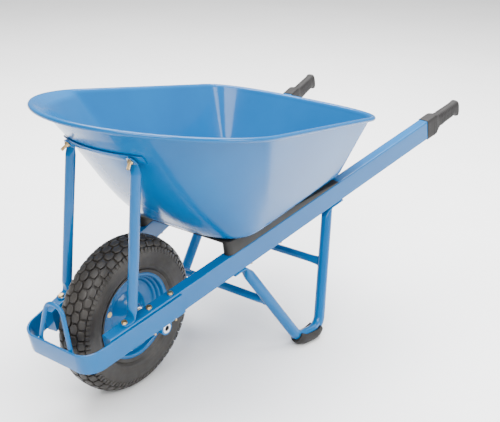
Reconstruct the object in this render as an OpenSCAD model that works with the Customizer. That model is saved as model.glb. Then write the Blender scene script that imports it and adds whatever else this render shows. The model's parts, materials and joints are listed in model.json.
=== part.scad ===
// Builder's wheelbarrow: pressed tray on two splayed box-section rails, a nose guard round
// a pneumatic wheel, two front stays and two bent-tube legs.
//
// +Z is up, the floor is z = 0, the wheel is at -Y and the grips are at +Y. The origin is on
// the floor, halfway along the barrow. "Left" is +X, as the user sees it from behind.
// Modules below are written from the axle's station (y = 0 under the axle) and are moved to
// their place in the row by from_axle().

/* [Wheel] */
// Overall diameter of the tyre
tyre_d = 400; // [390:1:404]
// Width of the tyre at its widest
tyre_w = 96; // [90:1:100]
// Diameter over the rim flanges
rim_d = 224; // [222:1:226]
// Diameter of the axle tube
axle_d = 25; // [24.8:0.1:25]
// Bore of the axle tube
axle_bore = 14; // [10:1:16]

/* [Rails] */
// Width of the box section
rail_w = 32; // [30:1:34]
// Height of the box section
rail_h = 60; // [58:1:62]
// Wall of the box section
rail_wall = 2.5; // [2:0.5:3]
// Height of the rails' top face above the floor, over the axle
rail_top = 275; // [274:1:277]
// Slope of the rails, rising to the rear
rail_rise = 12; // [11.5:0.5:12.5]
// Angle of each rail from the centre line
rail_splay = 7; // [6.5:0.5:7.5]
// Distance between the rails' centre lines over the axle
rail_spread = 243; // [240:1:246]
// Length of a rail in front of the axle
rail_front = 172; // [168:1:176]
// Length of a rail behind the axle, into the grip
rail_back = 1125; // [1118:1:1132]

/* [Nose] */
// Height of the nose guard's flat bar
nose_h = 54; // [50:1:56]
// Thickness of the nose guard's flat bar
nose_t = 6; // [5:1:7]
// Reach of the nose guard in front of the axle, along the rails' plane
nose_reach = 249; // [246:1:252]
// Outer radius of the nose guard's corners
nose_r = 50; // [45:5:60]
// Diameter of the hoop's round bar
hoop_d = 11; // [8:1:12]

/* [Tray] */
// Half width of the rim where it is widest
tray_half_w = 326; // [320:1:330]
// Thickness of the pressed sheet
tray_t = 1.5; // [1.5:0.1:2.4]
// Diameter of the rolled bead round the rim
bead_d = 12; // [10:1:13]
// Radius between the floor and the walls
floor_fillet = 24; // [20:1:26]

/* [Supports] */
// Diameter of the leg tubes
leg_d = 30; // [29:1:31]
// Diameter of the leg braces
brace_d = 22; // [20:1:24]
// Diameter of the front stays
stay_d = 25; // [24:1:26]
// Outward lean of the legs, across per unit of drop
leg_lean = 0.236; // [0.22:0.004:0.248]

/* [Grips] */
// Length of a grip
grip_len = 177; // [172:1:180]

/* [Hidden] */
$fn = 64;

paint = "deepskyblue";
black = [0.2, 0.19, 0.18];
zinc = [0.8, 0.65, 0.4];
steel = [0.75, 0.76, 0.78];

// Rails' plane, tilted about X: u across, s along the plane, n above the rails' top face.
run = cos(rail_rise);
lift = sin(rail_rise);
side_slope = tan(rail_splay);
function rail_u(s) = rail_spread / 2 + s * side_slope;
function rail_z(y) = rail_top + y * lift / run;
function rail_bottom_z(y) = rail_z(y) - rail_h / run;
function rail_x(y) = rail_u(y / run);

// The nose's tip and the grips' ends lie the same distance from the origin.
nose_drop = 6;
grip_s = rail_back - 48;
nose_tip_y = nose_drop * lift - nose_reach * run;
grip_tip_y = (grip_s + grip_len) * cos(rail_splay) * run + 60 * lift;
axle_y = -(grip_tip_y + nose_tip_y) / 2;

// Wheel
tyre_r = tyre_d / 2;
axle_r = axle_d / 2;
bracket_in = 104;
bracket_out = 134;
axle_half = 135;
bearing_in = 24;
bearing_w = 12;
bearing_r = 23.5;
ball_r = 3.3;
ball_pitch_r = 18;
ball_count = 9;
hub_r = 27;
hub_half = 37;
rim_t = 2.5;
rim_bolt_r = 68;
rim_bolt_count = 4;
rim_bolt_phase = 72;
valve_angle = 215;
valve_x = 15;

// Bolt places along a rail, from the axle
stay_bolt_s = -115;
bracket_bolt_s = [-41, 26];
leg_bolt_s = [246, 616];
tray_bolt_s = [296, 409];
bolt_r = 4;
bolt_hole_r = 4.2;
bolt_flats = 13;
head_h = 5.3;
nut_h = 6.5;

// Tray
rim_z = 700.8;
rim_slope = -0.158;
floor_z = 363;
floor_y = 210;
floor_slope = 0.12;
tray_steps = 40;
flange = 8;
bulge = 18;
corner_inset = 24;
front_rim = [tray_half_w, 325, 163, 1.88];
rear_rim = [290, 128, 634, 2.7];
front_floor = [204, 122, 312, 3.3];
rear_floor = [204, 45, 622, 3.4];
bead_r = bead_d / 2;

// Front stays
stay_angle = 70;
stay_level = 0.77;
strap_t = 4;
strap_gap = 0.9;
strap_half = 13;
tab_t = 4;

// Legs
tab_w = 34;
leg_tab_t = 6;
leg_r = leg_d / 2;
leg_wall = 2;
leg_bend_r = 45;
foot_z = 24;
foot_front_y = 413;
foot_rear_y = 494;
front_tab_y = [217, 256];
rear_tab_y = [590, 642];
brace_front_yz = [336, 150];
brace_rear_yz = [552, 195];

// ---------------------------------------------------------------- helpers

function unit(v) = v / norm(v);
function reversed(list) = [for (i = [len(list) - 1 : -1 : 0]) list[i]];
function mix(a, b, t) = a * (1 - t) + b * t;

module from_axle() translate([0, axle_y, 0]) children();

// The rails' plane: X across, Y along the rails' rise, Z square to it.
module rails_plane() from_axle() translate([0, 0, rail_top]) rotate([rail_rise, 0, 0]) children();

// The frame of the left rail, with its origin on the top face over the axle.
module on_rail(s = 0)
    rails_plane()
        translate([rail_spread / 2, 0, 0])
            rotate([0, 0, -rail_splay])
                translate([0, s / cos(rail_splay), 0]) children();

module on_side(side)
    if (side > 0) children();
    else mirror([1, 0, 0]) children();

module both_sides() for (side = [1, -1]) on_side(side) children();

// A frame at a point, given two square directions.
module placed(p, x_dir, y_dir) {
    z_dir = cross(x_dir, y_dir);
    multmatrix([
        [x_dir.x, y_dir.x, z_dir.x, p.x],
        [x_dir.y, y_dir.y, z_dir.y, p.y],
        [x_dir.z, y_dir.z, z_dir.z, p.z],
        [0, 0, 0, 1]
    ]) children();
}

module straight_bar(p, q, r) {
    along = unit(q - p);
    across = unit(cross(along, abs(along.x) < 0.9 ? [1, 0, 0] : [0, 0, 1]));
    placed(p, across, cross(along, across)) cylinder(h = norm(q - p), r = r);
}

module bend_bar(before, corner, after, bend_r, r) {
    a = unit(corner - before);
    b = unit(after - corner);
    turn = acos(a * b);
    inward = unit(b - a * (a * b));
    start = corner - a * bend_r * tan(turn / 2);
    placed(start + inward * bend_r, -inward, a)
        rotate_extrude(angle = turn) translate([bend_r, 0]) circle(r = r);
}

function corner_trim(pts, i, bend_r) =
    i == 0 || i == len(pts) - 1
        ? 0
        : bend_r * tan(acos(unit(pts[i] - pts[i - 1]) * unit(pts[i + 1] - pts[i])) / 2);

// A round bar along straight runs joined by bends of one radius. The bends are slightly swollen,
// and each straight run laps a little way into them.
swell = 0.15;
lap = 1;
module bent_bar(pts, bend_r, r) {
    for (i = [0 : len(pts) - 2]) {
        along = unit(pts[i + 1] - pts[i]);
        straight_bar(
            pts[i] + along * (corner_trim(pts, i, bend_r) - (i > 0 ? lap : 0)),
            pts[i + 1] - along * (corner_trim(pts, i + 1, bend_r) - (i < len(pts) - 2 ? lap : 0)),
            r
        );
    }
    for (i = [1 : len(pts) - 2]) bend_bar(pts[i - 1], pts[i], pts[i + 1], bend_r, r + swell);
}

function rounded_box(w, h, r, steps = 5) = [
    for (corner = [0 : 3])
        for (i = [0 : steps])
            let (
                a = 90 * corner + 90 * i / steps,
                cx = (corner == 0 || corner == 3 ? 1 : -1) * (w / 2 - r),
                cy = (corner < 2 ? 1 : -1) * (h / 2 - r)
            )
            [cx + r * cos(a), cy + r * sin(a)]
];

// A bolt whose head sits on z = 0 and whose shank points down.
module hex_bolt(length) {
    cylinder(h = head_h, r = bolt_flats / 2 / cos(30), $fn = 6);
    translate([0, 0, -length]) cylinder(h = length, r = bolt_r);
}

// A nut that hangs below z = 0 on a shank.
module hex_nut()
    translate([0, 0, -nut_h])
        difference() {
            cylinder(h = nut_h, r = bolt_flats / 2 / cos(30), $fn = 6);
            translate([0, 0, -1]) cylinder(h = nut_h + 2, r = bolt_r + 0.05);
        }

module round_bolt(length) {
    cylinder(h = 2.5, r1 = 8.5, r2 = 6.5);
    translate([0, 0, -length]) cylinder(h = length, r = bolt_r);
}

module x_cylinder(x0, x1, r) translate([x0, 0, 0]) rotate([0, 90, 0]) cylinder(h = x1 - x0, r = r);

module at_axle() from_axle() translate([0, 0, tyre_r]) children();

// Turns an outline drawn as [x, radius] about the axle.
module turned_about_x() rotate([90, 0, 90]) rotate([0, 0, 90]) rotate_extrude() children();

// ---------------------------------------------------------------- tray shape

function half_oval(o, dir) = [
    for (i = [0 : tray_steps - 1])
        let (a = 180 * i / (tray_steps - 1))
        [o[0] * sign(cos(a)) * pow(abs(cos(a)), 2 / o[3]), o[2] + dir * o[1] * pow(sin(a), 2 / o[3])]
];
function outline(front, rear) = concat(half_oval(front, -1), reversed(half_oval(rear, 1)));
function out_dir(line, i) =
    let (
        count = len(line),
        d = unit(line[(i + 1) % count] - line[(i + count - 1) % count])
    )
    [-d.y, d.x];
function on_rim_plane(p) = [p.x, p.y, rim_z + rim_slope * p.y];
function on_floor_plane(p) = [p.x, p.y, floor_z + floor_slope * (p.y - floor_y)];
function flat_dir(d) = [d.x, d.y, 0];

rim_line = outline(front_rim, rear_rim);
floor_line = outline(front_floor, rear_floor);
stations = len(rim_line);
bead_points = [for (p = rim_line) on_rim_plane(p)];
rim_dirs = [for (i = [0 : stations - 1]) flat_dir(out_dir(rim_line, i))];
floor_dirs = [for (i = [0 : stations - 1]) flat_dir(out_dir(floor_line, i))];

// How far a station faces the front, and how near it is to one of the two front corners.
function frontness(i) = max(0, -rim_dirs[i].y);
function cornerness(i) = 4 * frontness(i) * (1 - frontness(i));

// The wall's outer face at a station, from t = 0 at the floor's corner to t = 1 under the rim.
// The front wall bulges outwards low down, and the sides and rear are straight.
function wall_top(i) = bead_points[i] - rim_dirs[i] * (flange + corner_inset * cornerness(i));
function wall_point(i, t) =
    mix(on_floor_plane(floor_line[i]), wall_top(i), t)
    + rim_dirs[i] * bulge * 9.48 * t * pow(1 - t, 3) * frontness(i);
function fillet_point(i, s) =
    let (
        corner = wall_point(i, 0),
        inner = on_floor_plane(floor_line[i] - floor_fillet * [floor_dirs[i].x, floor_dirs[i].y]),
        rise = floor_fillet / norm(wall_point(i, 1) - corner)
    )
    inner * pow(1 - s, 2) + corner * 2 * s * (1 - s) + wall_point(i, rise) * s * s;
fillet_levels = [0, 0.2, 0.4, 0.6, 0.8, 1];
wall_levels = [0.28, 0.46, 0.64, 0.82, 1];
wall_grid = concat(
    [for (s = fillet_levels) [for (i = [0 : stations - 1]) fillet_point(i, s)]],
    [for (t = wall_levels) [for (i = [0 : stations - 1]) wall_point(i, t)]]
);
rows = len(wall_grid);
floor_up = unit([0, -floor_slope, 1]);
function wall_normal(j, i) =
    j == 0
        ? -floor_up
        : unit(cross(
            wall_grid[j][(i + 1) % stations] - wall_grid[j][(i + stations - 1) % stations],
            wall_grid[j - 1][i] - wall_grid[min(j + 1, rows - 1)][i]
        ));
inner_grid = [
    for (j = [rows - 1 : -1 : 0])
        [for (i = [0 : stations - 1]) wall_grid[j][i] - tray_t * wall_normal(j, i)]
];
bead_angles = [-120, -75, -30, 15, 60, 105, 150];
bead_grid = [
    for (a = bead_angles)
        [for (i = [0 : stations - 1]) bead_points[i] + bead_r * (rim_dirs[i] * cos(a) + [0, 0, sin(a)])]
];
tray_grid = concat(wall_grid, bead_grid, inner_grid);

// A closed solid through rings of equal length, capped at the first and the last ring.
module skin(rings) {
    count = len(rings[0]);
    last = len(rings) - 1;
    polyhedron(
        points = [for (ring = rings) each ring],
        faces = concat(
            [[for (i = [0 : count - 1]) i]],
            [
                for (j = [0 : last - 1])
                    for (i = [0 : count - 1])
                        let (k = (i + 1) % count)
                        each [
                            [j * count + i, (j + 1) * count + i, j * count + k],
                            [j * count + k, (j + 1) * count + i, (j + 1) * count + k]
                        ]
            ],
            [[for (i = [count - 1 : -1 : 0]) last * count + i]]
        )
    );
}

// Frame on the front wall's outer face where a stay is bolted: Z points out of the wall.
stay_i = round(stay_angle / 180 * (tray_steps - 1));
stay_share = 0.35;
stay_p = mix(wall_point(stay_i, stay_level), wall_point(stay_i + 1, stay_level), stay_share);
stay_up = unit(wall_point(stay_i, stay_level + 0.05) - wall_point(stay_i, stay_level - 0.05));
stay_cross = wall_point(stay_i - 1, stay_level) - wall_point(stay_i + 1, stay_level);
stay_across = unit(stay_cross - stay_up * (stay_cross * stay_up));

module on_stay_wall() from_axle() placed(stay_p, stay_across, stay_up) children();

// ---------------------------------------------------------------- tray and what holds it

module tray() color(paint)
    difference() {
        from_axle() skin(tray_grid);
        both_sides() {
            on_stay_wall() translate([0, 0, -10]) cylinder(h = 20, r = bolt_hole_r);
            for (s = tray_bolt_s) on_rail(s) cylinder(h = 80, r = bolt_hole_r);
        }
    }

// Flat strap that follows the front wall between the stays.
strap_ends = [stay_i - 1, tray_steps - stay_i];
strap_reach = strap_half / norm(wall_point(stay_i, 1) - wall_point(stay_i, 0));
function front_normal(i, t) =
    unit(cross(
        wall_point(i + 1, t) - wall_point(i - 1, t),
        wall_point(i, t - 0.05) - wall_point(i, t + 0.05)
    ));
function strap_corner(i, t, lift) = wall_point(i, t) + front_normal(i, t) * lift;

module tray_stay_strap() color(paint)
    difference() {
        from_axle() skin([
            for (i = [strap_ends[0] : strap_ends[1]]) [
                strap_corner(i, stay_level - strap_reach, strap_gap),
                strap_corner(i, stay_level - strap_reach, strap_gap + strap_t),
                strap_corner(i, stay_level + strap_reach, strap_gap + strap_t),
                strap_corner(i, stay_level + strap_reach, strap_gap)
            ]
        ]);
        both_sides() on_stay_wall() translate([0, 0, -10]) cylinder(h = 20, r = bolt_hole_r);
    }

stay_tab_z = strap_gap + strap_t + 0.5;
stay_foot_s = -88;
// One stay: a tube flattened at the foot, where it is bolted to the rail, and at the top,
// where it follows the front wall's slope.
module tray_stay() color(paint) {
    foot = stay_point([0, 0, 16]);
    head = stay_head([0, -26, 16]);
    difference() {
        union() {
            on_rail(stay_bolt_s) stay_foot_tab();
            hull() {
                on_rail(stay_bolt_s) translate([-12.8, 17, 0.3]) cube([25.6, 2, tab_t - 0.4]);
                from_axle() stay_ring(foot, head, stay_d / 2 - 0.4);
            }
            from_axle() straight_bar(foot, head, stay_d / 2);
            hull() {
                from_axle() stay_ring(head, foot, stay_d / 2 - 0.4);
                on_stay_wall() translate([-12.8, -11, stay_tab_z + 0.2]) cube([25.6, 2, tab_t - 0.4]);
            }
            on_stay_wall() stay_head_tab();
        }
        from_axle() straight_bar(foot + unit(head - foot) * 2, head - unit(head - foot) * 2, stay_d / 2 - 1.6);
    }
}

function stay_point(p) =
    let (s = stay_foot_s, u = rail_u(s) + p.x)
    [u, (s + p.y) * run - p.z * lift, rail_top + (s + p.y) * lift + p.z * run];
function stay_head(p) =
    stay_p + stay_across * p.x + stay_up * p.y + cross(stay_across, stay_up) * (p.z + stay_tab_z);

module stay_ring(p, q, r) straight_bar(p, p + unit(q - p) * 0.5, r, $fn = 32);

module stay_foot_tab()
    translate([0, 0, 0.1])
        difference() {
            linear_extrude(tab_t) union() {
                circle(r = 14);
                translate([-13, 0]) square([26, 20]);
            }
            translate([0, 0, -1]) cylinder(h = tab_t + 2, r = bolt_hole_r);
        }

module stay_head_tab()
    translate([0, 0, stay_tab_z])
        difference() {
            linear_extrude(tab_t) union() {
                circle(r = 13);
                translate([-13, -12]) square([26, 12]);
            }
            translate([0, 0, -1]) cylinder(h = tab_t + 2, r = bolt_hole_r);
        }

// Packing wedge between the tray's floor and a rail, round at its front end.
riser_s = [216, 648];
riser_w = 31;
strip_y = [200, 236];
strip_t = 6;

module below_floor(gap = 0)
    from_axle()
        translate([0, floor_y, floor_z - gap])
            rotate([atan(floor_slope), 0, 0])
                translate([-400, -400, -200]) cube([800, 1200, 200]);

function riser_plan() = concat(
    [for (i = [0 : 12]) [riser_w / 2 * cos(180 + 15 * i), riser_s[0] + riser_w / 2 + riser_w / 2 * sin(180 + 15 * i)]],
    [[riser_w / 2, riser_s[1]], [-riser_w / 2, riser_s[1]]]
);

module riser() color(black)
    difference() {
        intersection() {
            on_rail() linear_extrude(60) polygon(riser_plan());
            below_floor(0.1);
        }
        strip_slab(0.1);
        for (s = leg_bolt_s) on_rail(s) translate([0, 0, -0.1]) cylinder(h = 8, r = 9);
        for (s = tray_bolt_s) on_rail(s) translate([0, 0, -0.1]) cylinder(h = 80, r = bolt_hole_r);
    }

// Thin strip across the front of the tray's floor, let into both risers.
module strip_slab(gap)
    from_axle()
        translate([0, floor_y, floor_z - 0.1])
            rotate([atan(floor_slope), 0, 0])
                translate([-152 - gap, strip_y[0] - floor_y - gap, -strip_t - gap])
                    cube([304 + 2 * gap, strip_y[1] - strip_y[0] + 2 * gap, strip_t + 2 * gap]);

module tray_front_strip() color(black) strip_slab(0);

// ---------------------------------------------------------------- frame

// Box-section rail, closed at its front end.
module rail() color(paint)
    difference() {
        rail_bar(-rail_front, rail_back, 0);
        rail_bar(-rail_front + 3, rail_back + 1, rail_wall);
        for (s = concat([stay_bolt_s], bracket_bolt_s, leg_bolt_s, tray_bolt_s))
            on_rail(s) translate([0, 0, -rail_h - 1]) cylinder(h = rail_h + 2, r = bolt_hole_r);
    }

module rail_bar(s0, s1, inset)
    on_rail()
        translate([0, s0, -rail_h / 2])
            rotate([-90, 0, 0])
                linear_extrude(s1 - s0)
                    polygon(rounded_box(rail_w - 2 * inset, rail_h - 2 * inset, max(1, 4 - inset)));

// Flat bar bent round the front of the wheel, with a leg welded along each rail.
nose_end_s = 42;
nose_steps = 10;
function nose_corner(u, s, r) = [
    for (i = [0 : nose_steps])
        let (a = -90 + (90 - rail_splay) * i / nose_steps)
        [u + r * cos(a), s + r * sin(a)]
];
// Centre of the corner's arc, for a bar whose outer face runs along the rail and the front.
nose_gap = rail_w / 2 + 0.1;
nose_cs = -nose_reach + nose_r;
nose_cu = rail_u(nose_cs) + (nose_gap + nose_t - nose_r) / cos(rail_splay);
function nose_half(r) =
    concat(nose_corner(nose_cu, nose_cs, r), [nose_end(r)]);
function nose_end(r) = [
    rail_u(nose_end_s) + (nose_gap + nose_t - nose_r + r) / cos(rail_splay),
    nose_end_s
];
function flipped(list) = [for (p = list) [-p.x, p.y]];

module nose_guard() color(paint)
    rails_plane()
        translate([0, 0, -nose_drop - nose_h])
            linear_extrude(nose_h)
                polygon(concat(
                    reversed(flipped(nose_half(nose_r))),
                    nose_half(nose_r),
                    reversed(nose_half(nose_r - nose_t)),
                    flipped(nose_half(nose_r - nose_t))
                ));

// Round-bar hoop that stands up from the inside of the nose guard.
hoop_s = -nose_reach + nose_t + hoop_d / 2 + 0.3;
module nose_hoop() color(paint)
    rails_plane()
        bent_bar(
            [
                [-50, hoop_s, -48], [-50, hoop_s, -8], [-24, hoop_s + 24, 86],
                [24, hoop_s + 24, 86], [50, hoop_s, -8], [50, hoop_s, -48]
            ],
            26, hoop_d / 2
        );

// ---------------------------------------------------------------- legs

function leg_x(y, z) = rail_x(y) + leg_lean * (rail_bottom_z(y) - z);
function leg_at(y, z) = [leg_x(y, z), y, z];
leg_top_front = leg_at(front_tab_y[1], rail_bottom_z(front_tab_y[1]) - leg_tab_t / 2);
leg_top_rear = leg_at(rear_tab_y[0], rail_bottom_z(rear_tab_y[0]) - leg_tab_t / 2);
foot_front = leg_at(foot_front_y, foot_z);
foot_rear = leg_at(foot_rear_y, foot_z);
leg_path = [
    leg_top_front + unit(foot_front - leg_top_front) * 34,
    foot_front,
    foot_rear,
    leg_top_rear + unit(foot_rear - leg_top_rear) * 34
];

// A flattened end of the tube, under the rail from s0 to s1.
module leg_tab(s0, s1)
    on_rail()
        translate([-tab_w / 2, s0, -rail_h - leg_tab_t - 0.1])
            cube([tab_w, s1 - s0, leg_tab_t]);

module leg_neck(s, p, q)
    hull() {
        leg_tab(s - 1, s + 1);
        from_axle() straight_bar(p, p + unit(q - p) * 0.5, leg_r - 0.4, $fn = 32);
    }

module leg() color(paint)
    difference() {
        union() {
            leg_tab(front_tab_y[0] / run, front_tab_y[1] / run);
            leg_neck(front_tab_y[1] / run, leg_path[0], leg_path[1]);
            from_axle() bent_bar(leg_path, leg_bend_r, leg_r);
            leg_neck(rear_tab_y[0] / run, leg_path[3], leg_path[2]);
            leg_tab(rear_tab_y[0] / run, rear_tab_y[1] / run);
        }
        from_axle() bent_bar(leg_path, leg_bend_r, leg_r - leg_wall);
        for (s = leg_bolt_s)
            on_rail(s) translate([0, 0, -rail_h - 20]) cylinder(h = 30, r = bolt_hole_r);
    }

// A cross tube between two leg runs, saddled round them at its ends.
module leg_brace(yz, p, q) color(paint) {
    half = leg_x(yz[0], yz[1]);
    difference() {
        from_axle() straight_bar([-half, yz[0], yz[1]], [half, yz[0], yz[1]], brace_d / 2);
        from_axle() straight_bar([-half - 1, yz[0], yz[1]], [half + 1, yz[0], yz[1]], brace_d / 2 - 1.6);
        both_sides() from_axle() straight_bar(p, q, leg_r + 0.05);
    }
}

// Moulded shoe that wraps under the foot's bend.
shoe_r = 25;
module foot() color(black)
    difference() {
        from_axle() bent_bar(shoe_path, leg_bend_r, shoe_r);
        from_axle() bent_bar(leg_path, leg_bend_r, leg_r + 0.1);
        translate([0, -500, 31]) cube([400, 1000, 100]);
        translate([0, -500, -50]) cube([400, 1000, 50]);
    }
shoe_path = [
    foot_front + unit(leg_path[0] - foot_front) * 40,
    foot_front,
    foot_rear,
    foot_rear + unit(leg_path[3] - foot_rear) * 42
];

// ---------------------------------------------------------------- grips

collar_len = 50;
// Each station of the grip: distance from its mouth, top, bottom, width and corner radius.
grip_stations = [
    [0, 2, -62.5, 36.5, 5],
    [collar_len, 2, -62.5, 36.5, 5],
    [collar_len + 20, -6, -52, 31, 11],
    [grip_len - 18, -6, -47, 30, 12],
    [grip_len - 8, -4, -58, 32, 11],
    [grip_len, -5, -55, 29, 11]
];

module grip_slab(g)
    translate([0, g[0], (g[1] + g[2]) / 2])
        rotate([-90, 0, 0])
            linear_extrude(0.5) polygon(rounded_box(g[3], g[1] - g[2], g[4]));

module grip() color(black)
    difference() {
        on_rail() translate([0, grip_s, 0])
            for (i = [0 : len(grip_stations) - 2])
                hull() {
                    grip_slab(grip_stations[i]);
                    grip_slab(grip_stations[i + 1]);
                }
        on_rail()
            translate([0, grip_s - 1, -rail_h / 2])
                rotate([-90, 0, 0])
                    linear_extrude(rail_back - grip_s + 1.5)
                        polygon(rounded_box(rail_w + 0.1, rail_h + 0.1, 4));
    }

// ---------------------------------------------------------------- axle and wheel

module axle() color(steel)
    at_axle() difference() {
        x_cylinder(-axle_half, axle_half, axle_r);
        x_cylinder(-axle_half - 1, axle_half + 1, axle_bore / 2);
    }

// Saddle bracket under the rail: a plate for two bolts and a boss round the axle.
bracket_t = 5;
module axle_bracket() color(paint)
    difference() {
        union() {
            on_rail()
                translate([-rail_w / 2 + 1, bracket_bolt_s[0] - 13, -rail_h - bracket_t - 0.1])
                    cube([rail_w - 2, bracket_bolt_s[1] - bracket_bolt_s[0] + 26, bracket_t]);
            at_axle() x_cylinder(bracket_in, bracket_out, axle_r + 5);
            at_axle()
                translate([bracket_in, -axle_r - 5, 0])
                    cube([bracket_out - bracket_in, 2 * axle_r + 10, 12]);
        }
        at_axle() x_cylinder(bracket_in - 5, bracket_out + 5, axle_r + 0.05);
        on_rail() translate([-60, -80, -rail_h - 0.1]) cube([120, 200, 40]);
        for (s = bracket_bolt_s)
            on_rail(s) translate([0, 0, -rail_h - 20]) cylinder(h = 30, r = bolt_hole_r);
    }

module axle_spacer() color(steel) at_axle() tube_x(bearing_in + bearing_w + 0.1, bracket_in - 0.5, axle_r, 15.5);
module hub_spacer() color(steel) at_axle() tube_x(-bearing_in + 0.1, bearing_in - 0.1, axle_r, 15.5);

module tube_x(x0, x1, r_in, r_out)
    difference() {
        x_cylinder(x0, x1, r_out);
        x_cylinder(x0 - 1, x1 + 1, r_in + 0.05);
    }

module race_groove()
    turned_about_x()
        translate([ball_pitch_r, bearing_in + bearing_w / 2]) circle(r = ball_r + 0.1);

module bearing_inner() color(steel)
    at_axle() difference() {
        tube_x(bearing_in, bearing_in + bearing_w, axle_r, 16);
        race_groove();
    }

module bearing_outer() color(steel)
    at_axle() difference() {
        tube_x(bearing_in, bearing_in + bearing_w, 20, bearing_r - 0.05);
        race_groove();
    }

module at_each_ball()
    for (i = [0 : ball_count - 1])
        rotate([360 * i / ball_count, 0, 0])
            translate([bearing_in + bearing_w / 2, 0, ball_pitch_r]) children();

module bearing_balls() color(steel) at_axle() at_each_ball() sphere(r = ball_r, $fn = 32);

module bearing_cage() color(zinc)
    at_axle() difference() {
        tube_x(bearing_in + 1.2, bearing_in + bearing_w - 1.2, 17.2, 18.8);
        at_each_ball() sphere(r = ball_r + 0.1, $fn = 32);
    }

module hub() color(paint)
    at_axle() difference() {
        x_cylinder(-hub_half, hub_half, hub_r);
        x_cylinder(-hub_half - 1, hub_half + 1, 17);
        both_sides() x_cylinder(bearing_in, hub_half + 1, bearing_r);
    }

// Mid-line of a pressed rim half as [x, radius], from the flange to the hub.
rim_r = rim_d / 2;
rim_path = [
    [35.5, rim_r - 1], [33.5, rim_r - 3.5], [32.5, rim_r - 8], [22, rim_r - 9.5], [20.5, rim_r - 15],
    [12.5, rim_r - 17], [11, rim_r - 23], [5, rim_r - 25.5], [rim_t / 2, rim_r - 31],
    [rim_t / 2, 56], [8, 46], [13, 42], [20, 32], [24, hub_r + 0.1]
];
function path_dir(path, i) =
    let (d = unit(path[min(i + 1, len(path) - 1)] - path[max(i - 1, 0)])) [-d.y, d.x];
function strip_outline(path, t) = concat(
    [for (i = [0 : len(path) - 1]) path[i] + path_dir(path, i) * t / 2],
    reversed([for (i = [0 : len(path) - 1]) path[i] - path_dir(path, i) * t / 2])
);
function swapped(list) = [for (p = list) [p.y, p.x]];

module rim_half() color(paint)
    at_axle() difference() {
        turned_about_x() polygon(swapped([for (p = strip_outline(rim_path, rim_t)) [max(p.x, 0.02), max(p.y, hub_r + 0.05)]]));
        at_each_rim_bolt() translate([0, 0, -10]) cylinder(h = 20, r = bolt_hole_r);
        valve_line() translate([0, 0, 60]) cylinder(h = 60, r = 4.4);
    }

module at_each_rim_bolt()
    for (i = [0 : rim_bolt_count - 1])
        rotate([360 * i / rim_bolt_count + rim_bolt_phase, 0, 0])
            translate([0, 0, rim_bolt_r]) rotate([0, 90, 0]) children();

module rim_bolts() color(zinc)
    at_axle() at_each_rim_bolt() translate([0, 0, rim_t + 0.1]) hex_bolt(14);
module rim_nuts() color(zinc)
    at_axle() at_each_rim_bolt() translate([0, 0, -rim_t - 0.1]) hex_nut();

module valve_line() rotate([valve_angle, 0, 0]) translate([valve_x, 0, 0]) children();
module valve_stem() color(black)
    at_axle() valve_line() translate([0, 0, 80]) cylinder(h = 27, r = 4);
module valve_cap() color(black)
    at_axle() valve_line() difference() {
        translate([0, 0, 72]) cylinder(h = 13, r = 5.2);
        translate([0, 0, 79.9]) cylinder(h = 14, r = 4.05);
    }

// Half section of the tyre as [x, radius]: bead, sidewall, shoulder and crown.
crown_b = 46;
section_r = tyre_r - crown_b;
function tyre_arc(a_half, b_half, n, from, to, steps) = [
    for (i = [0 : steps])
        let (a = mix(from, to, i / steps))
        [
            a_half * pow(abs(cos(a)), 2 / n),
            section_r + sign(sin(a)) * b_half * pow(abs(sin(a)), 2 / n)
        ]
];
bead_base_r = rim_r - 7.7;
function tyre_half() = concat(
    [[22, bead_base_r], [31, bead_base_r + 0.9]],
    tyre_arc(tyre_w / 2, crown_b, 2.5, -55, 90, 24)
);
function cavity_half() = concat(
    [[21.9, bead_base_r + 6]],
    tyre_arc(tyre_w / 2 - 7, crown_b - 13, 2.3, -70, 90, 20)
);
function whole(half) = concat(half, reversed([for (p = half) [-p.x, p.y]]));

module tyre() color(black)
    at_axle() turned_about_x() difference() {
        polygon(swapped(whole(tyre_half())));
        polygon(swapped(whole(cavity_half())));
        translate([bead_base_r - 5, -21.9]) square([12, 43.8]);
        for (x = [-19, 0, 19]) translate([tyre_r - 5, x - 2]) square([12, 4]);
    }

module inner_tube() color([0.12, 0.12, 0.12])
    at_axle() turned_about_x() difference() {
        translate([section_r, 0]) circle(r = tyre_w / 2 - 16);
        translate([section_r, 0]) circle(r = tyre_w / 2 - 19);
    }

// ---------------------------------------------------------------- fasteners

module stay_foot_bolts() color(zinc)
    both_sides() on_rail(stay_bolt_s) translate([0, 0, tab_t + 0.2]) hex_bolt(rail_h + 22);
module stay_foot_nuts() color(zinc)
    both_sides() on_rail(stay_bolt_s) translate([0, 0, -rail_h - 0.1]) hex_nut();
module stay_top_bolts() color(zinc)
    both_sides() on_stay_wall() mirror([0, 0, 1]) translate([0, 0, tray_t + 0.9]) round_bolt(33);
module stay_top_nuts() color(zinc)
    both_sides() on_stay_wall() mirror([0, 0, 1]) translate([0, 0, -stay_tab_z - tab_t - 0.1]) hex_nut();
module bracket_bolts() color(zinc)
    both_sides() for (s = bracket_bolt_s) on_rail(s) translate([0, 0, 0.1]) hex_bolt(rail_h + 22);
module bracket_nuts() color(zinc)
    both_sides() for (s = bracket_bolt_s) on_rail(s) translate([0, 0, -rail_h - bracket_t - 0.2]) hex_nut();
module leg_bolts() color(zinc)
    both_sides() for (s = leg_bolt_s) on_rail(s) translate([0, 0, 0.1]) hex_bolt(rail_h + 18);
module leg_nuts() color(zinc)
    both_sides() for (s = leg_bolt_s) on_rail(s) translate([0, 0, -rail_h - leg_tab_t - 0.2]) hex_nut();

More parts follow.
